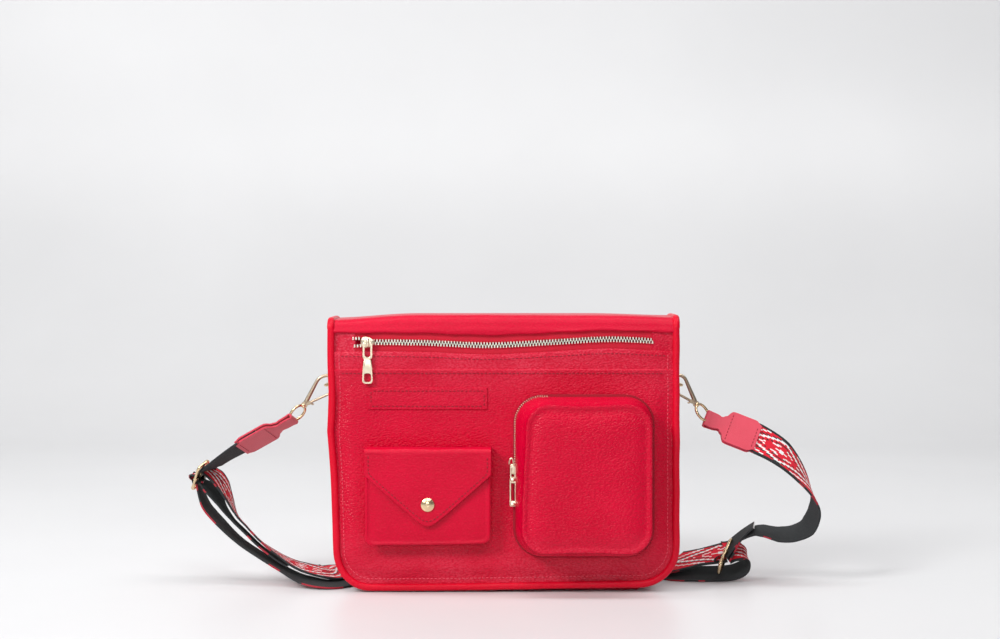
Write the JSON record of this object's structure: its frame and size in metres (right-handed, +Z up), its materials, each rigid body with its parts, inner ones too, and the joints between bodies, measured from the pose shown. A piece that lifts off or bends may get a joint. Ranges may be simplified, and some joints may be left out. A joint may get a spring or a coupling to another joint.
{
  "type": "flap satchel bag",
  "caption": "Leather flap satchel with a zip pocket, an envelope pocket and a box pocket on its flap, carried on a detachable patterned webbing strap.",
  "frame": {"origin": "middle of the flat base that the bag stands on", "axes": "+X along the bag's width to its right, +Y from front to back, +Z up"},
  "size_m": [0.5955, 0.1495, 0.2519],
  "materials": {
    "red_leather": "pebbled, semi-gloss",
    "strap_leather": "smooth, semi-gloss",
    "gold": "polished pale gold plate",
    "steel": "satin",
    "zip_tape": "woven tape with metal teeth",
    "lining_cloth": "plain woven",
    "board": "plain",
    "webbing": "jacquard weave",
    "black_webbing": "plain weave"
  },
  "bodies": {
    "root": {"back_panel": "red_leather", "back_binding": "red_leather", "front_panel": "red_leather", "gusset": "red_leather", "base_board": "board", "lining": "lining_cloth", "magnet_socket_left": "steel", "magnet_socket_right": "steel", "side_tab_left": "red_leather", "side_tab_right": "red_leather", "strap_end_left": "strap_leather", "strap_end_right": "strap_leather", "strap_slide_left": "gold", "strap_slide_right": "gold", "swivel_eye_left": "gold", "swivel_eye_right": "gold", "webbing_short": "black_webbing", "webbing_arch": "webbing", "webbing_lower": "black_webbing", "webbing_upper": "webbing"},
    "flap_top": {"flap_roll": "red_leather", "flap_roll_binding_left": "red_leather", "flap_roll_binding_right": "red_leather"},
    "flap_front": {"zip_lip": "red_leather", "zip_end_left": "red_leather", "zip_end_right": "red_leather", "zip_facing": "red_leather", "flap_panel": "red_leather", "flap_binding": "red_leather", "zip_pocket_back": "lining_cloth", "flap_lining": "lining_cloth", "sewn_patch": "red_leather", "flap_magnet_left": "steel", "flap_magnet_right": "steel", "zip_upper": "zip_tape", "zip_lower": "zip_tape", "envelope_gusset": "red_leather", "envelope_front": "red_leather", "snap_stud": "steel", "box_zip_tape": "zip_tape"},
    "envelope_lid": {"envelope_cover": "red_leather", "envelope_flap": "red_leather", "snap_cap": "gold", "snap_socket": "steel"},
    "box_lid": {"box_band": "red_leather", "box_front": "red_leather"},
    "zip_slider": {"zip_slider": "gold"},
    "pull_link": {"pull_link": "gold"},
    "pull_tab": {"pull_tab": "gold"},
    "box_slider": {"box_zip_slider": "gold"},
    "box_pull": {"box_zip_pull": "gold"},
    "dring_left": {"dring_left": "gold"},
    "hook_left": {"hook_left": "gold"},
    "gate_left": {"gate_left": "gold"},
    "dring_right": {"dring_right": "gold"},
    "hook_right": {"hook_right": "gold"},
    "gate_right": {"gate_right": "gold"}
  },
  "joints": [
    {"name": "flap_back_fold", "type": "hinge", "parent": "root", "child": "flap_top", "pos_m": [0, 0.032, 0.24], "axis": [-1, 0, 0], "range_deg": [0, 110]},
    {"name": "flap_front_fold", "type": "hinge", "parent": "flap_top", "child": "flap_front", "pos_m": [0, -0.0394, 0.24], "axis": [-1, 0, 0], "range_deg": [0, 90]},
    {"name": "main_zip", "type": "slide", "parent": "flap_front", "child": "zip_slider", "axis": [1, 0, 0], "range_m": [0, 0.255]},
    {"name": "pull_link_swing", "type": "hinge", "parent": "zip_slider", "child": "pull_link", "pos_m": [-0.123, -0.0397, 0.2265], "axis": [-1, 0, 0], "range_deg": [0, 90]},
    {"name": "pull_tab_swing", "type": "hinge", "parent": "pull_link", "child": "pull_tab", "pos_m": [-0.123, -0.0397, 0.2115], "axis": [-1, 0, 0], "range_deg": [0, 80]},
    {"name": "envelope_flap_fold", "type": "hinge", "parent": "flap_front", "child": "envelope_lid", "pos_m": [-0.068, -0.0374, 0.1321], "axis": [-1, 0, 0], "range_deg": [0, 85]},
    {"name": "box_lid_fold", "type": "hinge", "parent": "flap_front", "child": "box_lid", "pos_m": [0.0728, -0.0393, 0.034], "axis": [1, 0, 0], "range_deg": [0, 45]},
    {"name": "box_zip", "type": "slide", "parent": "flap_front", "child": "box_slider", "axis": [0, 0, 1], "range_m": [-0.053, 0.037]},
    {"name": "box_pull_swing", "type": "hinge", "parent": "box_slider", "child": "box_pull", "pos_m": [0.00845, -0.0419, 0.1165], "axis": [-1, 0, 0], "range_deg": [0, 90]},
    {"name": "dring_left_swing", "type": "hinge", "parent": "root", "child": "dring_left", "pos_m": [-0.1532, 0, 0.1878], "axis": [0, 1, 0], "range_deg": [0, 10]},
    {"name": "hook_left_swivel", "type": "hinge", "parent": "root", "child": "hook_left", "pos_m": [-0.1845, 0, 0.1665], "axis": [0.7669, 0, 0.6418], "range_deg": [-20, 20]},
    {"name": "gate_left_open", "type": "hinge", "parent": "hook_left", "child": "gate_left", "pos_m": [-0.18006, 0, 0.1685], "axis": [0, -1, 0], "range_deg": [0, 16], "stiffness_Nm_per_rad": 0.02, "springref_deg": -17.19},
    {"name": "dring_right_swing", "type": "hinge", "parent": "root", "child": "dring_right", "pos_m": [0.1532, 0, 0.1878], "axis": [0, -1, 0], "range_deg": [0, 10]},
    {"name": "hook_right_swivel", "type": "hinge", "parent": "root", "child": "hook_right", "pos_m": [0.1785, 0, 0.1675], "axis": [-0.6811, 0, 0.7322], "range_deg": [-20, 20]},
    {"name": "gate_right_open", "type": "hinge", "parent": "hook_right", "child": "gate_right", "pos_m": [0.17421, 0, 0.16991], "axis": [0, 1, 0], "range_deg": [0, 16], "stiffness_Nm_per_rad": 0.02, "springref_deg": -17.19}
  ]
}
